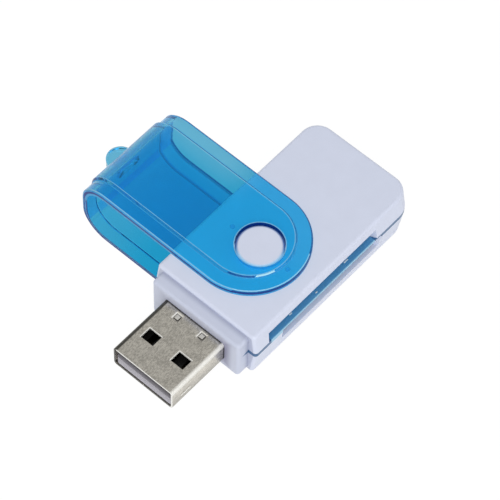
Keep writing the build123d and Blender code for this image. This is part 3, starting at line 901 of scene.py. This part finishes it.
class Studio:
    """Camera, floor, world and lamps."""

    LENS_PIXELS = 2800.0
    IMAGE_PIXELS = 500
    SENSOR_MM = 36.0
    CAMERA_MM: Point = (144.45, -159.57, 368.90)
    AZIMUTH = 40.023
    ELEVATION = 58.1
    ROLL = 1.986
    FILL = 0.52
    CEILING = 0.5
    CEILING_RANGE = (0.25, 0.7)
    THROUGH = 0.59
    FLOOR_SIZE = 6.0
    FLOOR_LEVEL = -0.0002
    FLOOR_GLOW = 1.06
    FLOOR_GLOW_SHARE = 0.88
    AIM: Point = (0.0, 0.0, 0.006)

    def camera(self) -> None:
        """Place the camera at the photograph's viewing angle."""
        azimuth, elevation, roll = (math.radians(a) for a in (self.AZIMUTH, self.ELEVATION, self.ROLL))
        level = Vector((math.cos(azimuth), math.sin(azimuth), 0.0))
        ahead = Vector((-math.sin(azimuth), math.cos(azimuth), 0.0))
        back = -math.cos(elevation) * ahead + math.sin(elevation) * Vector((0.0, 0.0, 1.0))
        upward = back.cross(level)
        right = math.cos(roll) * level + math.sin(roll) * upward
        up = -math.sin(roll) * level + math.cos(roll) * upward
        data = bpy.data.cameras.new("camera")
        data.sensor_width = self.SENSOR_MM
        data.lens = self.LENS_PIXELS / self.IMAGE_PIXELS * self.SENSOR_MM
        data.clip_start = 0.005
        data.clip_end = 20.0
        camera = bpy.data.objects.new("camera", data)
        turn = Matrix((right, up, back)).transposed().to_4x4()
        camera.matrix_world = Matrix.Translation(place(*self.CAMERA_MM)) @ turn
        bpy.context.scene.collection.objects.link(camera)
        bpy.context.scene.camera = camera

    def light_path(self, shader: Shader) -> tuple[Signal, Signal]:
        """Tell apart the rays that look at the background.

        Args:
            shader: tree that the Light Path node goes into.

        Returns:
            The share of white for rays that look at it straight or through clear plastic, and one for
            reflected rays.
        """
        path = shader.tree.nodes.new("ShaderNodeLightPath")
        names = ("Is Camera Ray", "Is Transmission Ray", "Is Glossy Ray")
        camera, through, glossy = (Signal(shader, path.outputs[name]) for name in names)
        straight = camera.max(through)
        return straight - through * (1 - self.THROUGH), glossy * (1 - straight)

    def world(self) -> None:
        """White surroundings under a dimmer ceiling, with a softer level for what lights the object."""
        world = bpy.data.worlds.new("surroundings")
        world.use_nodes = True
        bpy.context.scene.world = world
        shader = Shader(world.node_tree)
        straight, mirrored = self.light_path(shader)
        where = shader.node("ShaderNodeTexCoord", {}, "Generated")
        height = shader.node("ShaderNodeSeparateXYZ", {}, "Z", _0=where)
        ceiling = 1 - height.step(*self.CEILING_RANGE) * (1 - self.CEILING)
        unseen = (1 - mirrored) * (straight < 0.5)
        strength = straight + unseen * self.FILL + ceiling * mirrored
        white = shader.node("ShaderNodeBackground", {}, 0, Color=(1.0, 1.0, 1.0), Strength=strength)
        shader.surface(white)

    def floor(self) -> None:
        """Lay the pale floor, which shows white with a faint shadow."""
        bpy.ops.object.select_all(action="DESELECT")
        bpy.ops.mesh.primitive_plane_add(size=self.FLOOR_SIZE, location=(0.0, 0.0, self.FLOOR_LEVEL))
        floor = bpy.context.object
        floor.name = "studio_floor"
        material, shader = new_shader("studio_floor")
        cloud = shader.noise(400.0)
        tone = shader.blend(cloud, (0.9, 0.9, 0.9), (0.93, 0.93, 0.93))
        matt = shader.node("ShaderNodeBsdfDiffuse", {}, 0, Color=tone)
        straight, mirrored = self.light_path(shader)
        seen = straight.max(mirrored)
        strength = seen * self.FLOOR_GLOW
        glow = shader.node("ShaderNodeEmission", {}, 0, Color=(1.0, 1.0, 1.0), Strength=strength)
        share = (seen > 0.5) * self.FLOOR_GLOW_SHARE
        shader.surface(shader.node("ShaderNodeMixShader", {}, 0, _0=share, _1=matt, _2=glow))
        floor.data.materials.append(material)

    def lamp(self, name: str, where: Point, size: float, watts: float) -> None:
        """Add one square soft lamp aimed at the object.

        Args:
            name: name of the lamp.
            where: position in metres.
            size: side of the lamp in metres.
            watts: power.
        """
        data = bpy.data.lights.new(name, "AREA")
        data.shape = "SQUARE"
        data.size = size
        data.energy = watts
        lamp = bpy.data.objects.new(name, data)
        aim = Vector(self.AIM) - Vector(where)
        lamp.rotation_euler = aim.to_track_quat("-Z", "Y").to_euler()
        lamp.location = where
        bpy.context.scene.collection.objects.link(lamp)

    def build(self) -> None:
        """Set up the whole studio."""
        bpy.context.scene.view_settings.view_transform = "Standard"
        self.camera()
        self.world()
        self.floor()
        self.lamp("right_softbox", where=(0.42, 0.12, 0.16), size=0.20, watts=0.12)
        self.lamp("front_softbox", where=(0.24, -0.32, 0.46), size=0.40, watts=1.5)


class Finish(Enum):
    """Name of each finish on the reader."""

    SHELL = "shell"
    FRAME = "frame"
    PIP = "pip"
    CAP = "cap"
    BUMP = "bump"
    SHEET = "sheet"
    TONGUE = "tongue"
    PLUG_STRIP = "plug_strip"
    GOLD = "gold"
    TIN = "tin"
    CAN = "can"
    BOARD = "board"
    BAR = "bar"
    EPOXY = "epoxy"
    LENS = "lens"
    CERAMIC = "ceramic"
    COATED = "coated"


class Palette:
    """All materials of the reader, made once."""

    def __init__(self) -> None:
        """Build every finish."""
        shell = ShellPlastic(
            "lavender_white_shell", (0.77, 0.82, 0.985), shade=(0.42, 0.45, 0.58),
            boss_painted_shade=(0.03, 0.13, 0.45), boss_painted_sheen=(0.3, 0.62, 0.9), plug_painted_shadow=(0.3, 0.3, 0.44),
        )
        sheet = PlatedSheet(
            "nickel_plug_sheet", (0.82, 0.78, 0.69), painted_highlight=(0.95, 0.94, 0.89), shaded=(0.05, 0.05, 0.045)
        )
        tongue = PlugMouldings(
            "plug_tongue", (0.52, 0.50, 0.56), (0.006, 0.006, 0.006),
            mouth_mm=-11.5, dark_mm=-10.3, top_mm=-0.1,
        )
        strip = PlugMouldings(
            "plug_strips", (0.83, 0.62, 0.28), (0.01, 0.008, 0.004),
            mouth_mm=-9.6, dark_mm=-8.2, top_mm=-0.3, metallic=1.0, roughness=0.3,
        )
        plate = TintedPlate(
            "blue_card_frame", (0.08, 0.31, 0.60),
            edge_highlight_colour=(0.28, 0.60, 0.82), parting_shade_colour=(0.02, 0.12, 0.29),
        )
        # The pips are pale, so that they show as light specks on the blue plate.
        pale = (0.75, 0.88, 0.94)
        passed_light = (0.9, 0.97, 1.0)
        bare = (0.72, 0.72, 0.72)
        made = {
            Finish.SHELL: shell,
            Finish.FRAME: plate,
            Finish.PIP: TintedPlate("pale_slot_pip", pale, edge_highlight_colour=pale, parting_shade_colour=pale),
            Finish.CAP: ClearCap("clear_blue_cap", (0.026, 0.505, 0.86), passed_light),
            Finish.BUMP: ClearTint("clear_blue_bump", (0.45, 0.78, 0.93), passed_light, ior=1.18),
            Finish.SHEET: sheet,
            Finish.TONGUE: tongue,
            Finish.PLUG_STRIP: strip,
            Finish.GOLD: PlainMetal("gold_springs", (0.83, 0.62, 0.28)),
            Finish.TIN: PlainMetal("tinned_leads", bare, roughness=0.3),
            Finish.CAN: PlainMetal("crystal_can", (0.66, 0.65, 0.62), roughness=0.22),
            Finish.BOARD: SolderResist("green_board", (0.02, 0.16, 0.06), (0.04, 0.26, 0.10)),
            Finish.BAR: MouldedPlastic("black_contact_bar", (0.03, 0.03, 0.034), mottle=0.1, roughness=0.5),
            Finish.EPOXY: MouldedPlastic("chip_epoxy", (0.022, 0.022, 0.024), mottle=0.12, roughness=0.55),
            Finish.LENS: MouldedPlastic("light_lens", (0.82, 0.84, 0.74), roughness=0.2),
            Finish.CERAMIC: EndedChip("capacitor_ceramic", (0.42, 0.28, 0.16), bare, centre_mm=-5.55),
            Finish.COATED: EndedChip("resistor_coating", (0.03, 0.03, 0.035), bare, centre_mm=-2.7),
        }
        self.materials = {finish: maker.build() for finish, maker in made.items()}

    def dress(self, node: str, finish: Finish) -> None:
        """Put a finish on a solid of the model.

        Args:
            node: name of the solid's node.
            finish: the finish to wear.
        """
        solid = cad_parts[node]
        solid.data.materials.clear()
        solid.data.materials.append(self.materials[finish])
        log.info("%s: %s", node, finish.value)

    def coat(self, piece: bpy.types.Object, finish: Finish, body: str, slot: str) -> None:
        """Give a new piece its finish and the body that it rides on.

        Args:
            piece: the new piece.
            finish: the finish to wear.
            body: body of the model that carries it.
            slot: material slot of the record; not used.
        """
        piece.data.materials.clear()
        piece.data.materials.append(self.materials[finish])
        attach(piece, body)
        log.info("%s: %s, rides on %s", piece.name, finish.value, body)


class Bench:
    """Hand modelling of one small piece at a time."""

    @staticmethod
    def clear() -> None:
        """Deselect everything in object mode."""
        if bpy.context.object is not None and bpy.context.object.mode != "OBJECT":
            bpy.ops.object.mode_set(mode="OBJECT")
        bpy.ops.object.select_all(action="DESELECT")

    @staticmethod
    def pick_faces(piece: bpy.types.Object, along: Vector) -> None:
        """Enter edit mode with the faces selected that look along a direction.

        Args:
            piece: the active piece.
            along: direction of the wanted faces.
        """
        bpy.ops.object.mode_set(mode="EDIT")
        bpy.ops.mesh.select_mode(type="FACE")
        bpy.ops.mesh.select_all(action="DESELECT")
        bpy.ops.object.mode_set(mode="OBJECT")
        for face in piece.data.polygons:
            face.select = face.normal.dot(along) > 0.9
        bpy.ops.object.mode_set(mode="EDIT")

    @staticmethod
    def settle(name: str) -> bpy.types.Object:
        """Leave edit mode and put the piece's place into its mesh.

        Args:
            name: name of the piece.

        Returns:
            The piece.
        """
        bpy.ops.mesh.select_all(action="SELECT")
        bpy.ops.mesh.normals_make_consistent(inside=False)
        bpy.ops.object.mode_set(mode="OBJECT")
        bpy.ops.object.transform_apply(location=True, rotation=True, scale=True)
        bpy.ops.object.shade_smooth_by_angle(angle=math.radians(40))
        piece = bpy.context.object
        piece.name = name
        piece.data.name = name
        return piece

    @staticmethod
    def repeat(piece: bpy.types.Object, name: str, shift: Vector) -> bpy.types.Object:
        """Copy a piece with its own mesh.

        Args:
            piece: the piece to copy.
            name: name of the copy.
            shift: how far the copy lies from the piece, in metres.

        Returns:
            The copy.
        """
        copy = piece.copy()
        copy.data = piece.data.copy()
        copy.data.transform(Matrix.Translation(shift))
        copy.name = name
        copy.data.name = name
        bpy.context.scene.collection.objects.link(copy)
        return copy


@dataclass
class Housing:
    """Upper and lower shell of the reader."""

    palette: Palette
    nodes: tuple[str, ...] = ("upper_shell", "lower_shell")

    def dress(self) -> None:
        """Put the shell finish on both halves."""
        for node in self.nodes:
            self.palette.dress(node, Finish.SHELL)


@dataclass
class Plug:
    """Type A plug: folded sheet, tongue and four strips."""

    palette: Palette

    def dress(self) -> None:
        """Put its finishes on the plug."""
        self.palette.dress("usb_shell", Finish.SHEET)
        self.palette.dress("usb_insulator", Finish.TONGUE)
        self.palette.dress("usb_contacts", Finish.PLUG_STRIP)


@dataclass
class CardSlots:
    """Card frame, contact rows and the small pips that the full card slides on."""

    palette: Palette
    kinds: tuple[str, ...] = ("full_card", "stick_card", "micro_card", "short_stick")
    plate_level_mm: float = 1.05
    pip_places_mm: tuple[tuple[float, float], ...] = ((9.48, 24.25), (9.82, 16.92), (9.42, 11.38))
    pip_lengths_mm: tuple[float, ...] = (0.95, 0.4, 0.6)
    pip_width_mm: float = 0.2
    pip_height_mm: float = 0.07

    def dress(self) -> None:
        """Put their finishes on the frame, the bars and the springs."""
        self.palette.dress("card_frame", Finish.FRAME)
        for kind in self.kinds:
            self.palette.dress(f"{kind}_contact_bar", Finish.BAR)
            self.palette.dress(f"{kind}_contacts", Finish.GOLD)
        self.palette.dress("card_detect_springs", Finish.GOLD)

    def pip(self, number: int, where: tuple[float, float], length_mm: float) -> bpy.types.Object:
        """Model one round-topped pip on the plate of the frame.

        Args:
            number: number in the pip's name.
            where: its middle on the plate, in millimetres.
            length_mm: its length along the slot.

        Returns:
            The pip.
        """
        Bench.clear()
        bpy.ops.mesh.primitive_cube_add(
            size=1.0, location=place(*where, self.plate_level_mm + self.pip_height_mm / 2)
        )
        piece = bpy.context.object
        piece.scale = (self.pip_width_mm * MM, length_mm * MM, self.pip_height_mm * MM)
        bpy.ops.object.transform_apply(location=True, rotation=True, scale=True)
        Bench.pick_faces(piece, Vector((0, 0, 1)))
        bpy.ops.mesh.bevel(offset=0.8 * self.pip_height_mm * MM, segments=3, affect="EDGES")
        return Bench.settle(f"slot_pip_{number}")

    def build(self) -> None:
        """Model the pips."""
        for number, (where, length) in enumerate(zip(self.pip_places_mm, self.pip_lengths_mm), start=1):
            self.palette.coat(self.pip(number, where, length), Finish.PIP, "reader", "frame_blue")


@dataclass
class Board:
    """Circuit board and the parts soldered to it."""

    palette: Palette

    def dress(self) -> None:
        """Put their finishes on the board and its parts."""
        wear = {
            "circuit_board": Finish.BOARD,
            "controller_chip": Finish.EPOXY,
            "controller_leads": Finish.TIN,
            "clock_crystal": Finish.CAN,
            "status_led": Finish.LENS,
            "capacitors": Finish.CERAMIC,
            "resistors": Finish.COATED,
        }
        for node, finish in wear.items():
            self.palette.dress(node, finish)


@dataclass
class SwivelCap:
    """Clear cap with two click bumps under its upper plate."""

    palette: Palette
    underside_mm: float = 5.35
    bump_out_mm: float = 5.65
    bump_radius_mm: float = 0.4
    bump_drop_mm: float = 0.13
    bump_root_mm: float = 0.03

    def dress(self) -> None:
        """Put the clear finish on the cap."""
        self.palette.dress("swivel_cap", Finish.CAP)

    def bump(self) -> bpy.types.Object:
        """Model the left click bump as a low dome that hangs from the plate.

        Returns:
            The bump.
        """
        Bench.clear()
        level = self.underside_mm + self.bump_root_mm - self.bump_drop_mm / 2
        middle = place(-self.bump_out_mm, SWIVEL_MM, level)
        bpy.ops.mesh.primitive_cylinder_add(
            vertices=32, radius=self.bump_radius_mm * MM, depth=self.bump_drop_mm * MM, location=middle
        )
        piece = bpy.context.object
        bpy.ops.object.transform_apply(location=True, rotation=True, scale=True)
        Bench.pick_faces(piece, Vector((0, 0, -1)))
        bpy.ops.mesh.bevel(offset=0.9 * self.bump_drop_mm * MM, segments=4, affect="EDGES")
        return Bench.settle("click_bump_left")

    def build(self) -> None:
        """Model both bumps."""
        left = self.bump()
        right = Bench.repeat(left, "click_bump_right", Vector((2 * self.bump_out_mm * MM, 0, 0)))
        for piece in (left, right):
            self.palette.coat(piece, Finish.BUMP, "cap", "cap_blue")


def main() -> None:
    """Build the studio, dress each sub-assembly, then add the slot pips and the click bumps."""
    Studio().build()
    palette = Palette()
    slots = CardSlots(palette)
    cap = SwivelCap(palette)
    for assembly in (Housing(palette), Plug(palette), slots, Board(palette), cap):
        assembly.dress()
    for assembly in (slots, cap):
        assembly.build()


if __name__ == "__main__":
    main()
